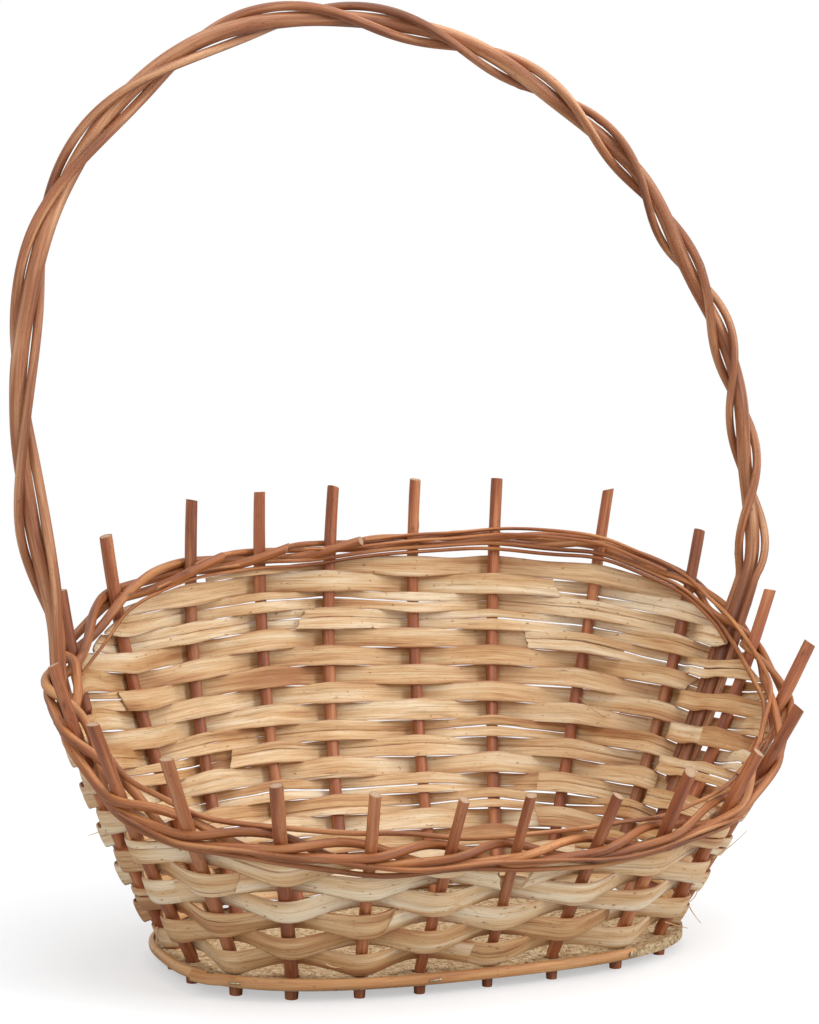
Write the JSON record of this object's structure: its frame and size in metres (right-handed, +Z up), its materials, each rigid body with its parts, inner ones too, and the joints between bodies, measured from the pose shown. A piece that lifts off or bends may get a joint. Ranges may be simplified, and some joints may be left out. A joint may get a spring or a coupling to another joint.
{
  "type": "gift basket",
  "caption": "Oval stake-and-strand basket of flat splints on round stakes, with a flat board base, a low front, a high back and a fixed twisted arch handle.",
  "frame": {"origin": "on the ground plane, under the middle of the basket's bounding box", "axes": "+X along the oval from the lower to the higher handle foot, +Y from the low front to the high back, +Z up"},
  "size_m": [0.386, 0.2424, 0.4415],
  "materials": {
    "stake_willow": "satin peeled willow",
    "rim_willow": "satin peeled willow",
    "handle_willow": "satin peeled willow",
    "splint": "matte split wood",
    "chipboard": "matte particle board",
    "split_willow": "satin split willow",
    "steel": "plain wire"
  },
  "bodies": {
    "root": {"base_board": "chipboard", "handle_core": "handle_willow", "handle_wrap_1": "handle_willow", "handle_wrap_2": "handle_willow", "hoop_back": "split_willow", "hoop_front": "split_willow", "hoop_nail": "steel", "hoop_staple_1": "steel", "hoop_staple_2": "steel", "rim_rod_1": "rim_willow", "rim_rod_2": "rim_willow", "rim_rod_3": "rim_willow", "splint_row_01": "splint", "splint_row_02": "splint", "splint_row_03": "splint", "splint_row_04": "splint", "splint_row_05": "splint", "splint_row_06": "splint", "splint_row_07": "splint", "splint_row_08": "splint", "splint_row_09": "splint", "splint_row_10": "splint", "splint_row_11": "splint", "splint_row_12": "splint", "splint_row_13": "splint", "splint_row_14": "splint", "splint_row_15": "splint", "splint_row_16": "splint", "splint_row_17": "splint", "splint_row_18": "splint", "stake_01": "stake_willow", "stake_02": "stake_willow", "stake_03": "stake_willow", "stake_04": "stake_willow", "stake_05": "stake_willow", "stake_06": "stake_willow", "stake_07": "stake_willow", "stake_08": "stake_willow", "stake_09": "stake_willow", "stake_10": "stake_willow", "stake_11": "stake_willow", "stake_12": "stake_willow", "stake_13": "stake_willow", "stake_14": "stake_willow", "stake_15": "stake_willow", "stake_16": "stake_willow", "stake_17": "stake_willow", "stake_18": "stake_willow", "stake_19": "stake_willow", "stake_20": "stake_willow", "stake_21": "stake_willow", "stake_22": "stake_willow"}
  },
  "joints": []
}
